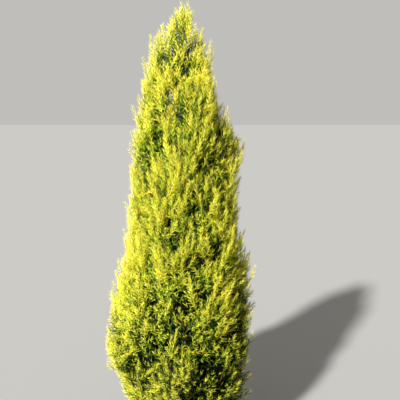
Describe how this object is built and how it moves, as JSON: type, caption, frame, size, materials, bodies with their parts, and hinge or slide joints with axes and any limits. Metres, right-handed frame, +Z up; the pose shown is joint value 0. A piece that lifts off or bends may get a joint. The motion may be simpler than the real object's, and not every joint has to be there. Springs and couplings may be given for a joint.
{
  "type": "golden cypress tree",
  "caption": "Slim conical golden conifer: one tapering trunk with a root flare, short rising boughs and feathery upright foliage down to the ground.",
  "frame": {"origin": "middle of the flat cut under the trunk, at ground level", "axes": "+Z up along the trunk, +X to the viewer's right and -Y towards the viewer in the picture"},
  "size_m": [0.6679, 0.6708, 2],
  "materials": {
    "foliage": "matt to faintly glossy needles, lemon yellow at the tips and deep green inside",
    "bark": "matt red-brown bark that splits into narrow upright strips"
  },
  "bodies": {
    "root": {"broad_bough_1": "bark", "broad_bough_2": "bark", "broad_bough_3": "bark", "broad_bough_4": "bark", "broad_bough_5": "bark", "broad_mass_1": "foliage", "broad_mass_2": "foliage", "broad_mass_3": "foliage", "broad_mass_4": "foliage", "broad_mass_5": "foliage", "high_bough_1": "bark", "high_bough_2": "bark", "high_bough_3": "bark", "high_mass_1": "foliage", "high_mass_2": "foliage", "high_mass_3": "foliage", "leader_mass": "foliage", "low_bough_1": "bark", "low_bough_2": "bark", "low_bough_3": "bark", "low_bough_4": "bark", "low_bough_5": "bark", "low_mass_1": "foliage", "low_mass_2": "foliage", "low_mass_3": "foliage", "low_mass_4": "foliage", "low_mass_5": "foliage", "middle_bough_1": "bark", "middle_bough_2": "bark", "middle_bough_3": "bark", "middle_bough_4": "bark", "middle_bough_5": "bark", "middle_mass_1": "foliage", "middle_mass_2": "foliage", "middle_mass_3": "foliage", "middle_mass_4": "foliage", "middle_mass_5": "foliage", "skirt_bough_1": "bark", "skirt_bough_2": "bark", "skirt_bough_3": "bark", "skirt_bough_4": "bark", "skirt_bough_5": "bark", "skirt_mass_1": "foliage", "skirt_mass_2": "foliage", "skirt_mass_3": "foliage", "skirt_mass_4": "foliage", "skirt_mass_5": "foliage", "top_bough_1": "bark", "top_bough_2": "bark", "top_mass_1": "foliage", "top_mass_2": "foliage", "trunk": "bark", "upper_bough_1": "bark", "upper_bough_2": "bark", "upper_bough_3": "bark", "upper_bough_4": "bark", "upper_mass_1": "foliage", "upper_mass_2": "foliage", "upper_mass_3": "foliage", "upper_mass_4": "foliage"}
  },
  "joints": []
}
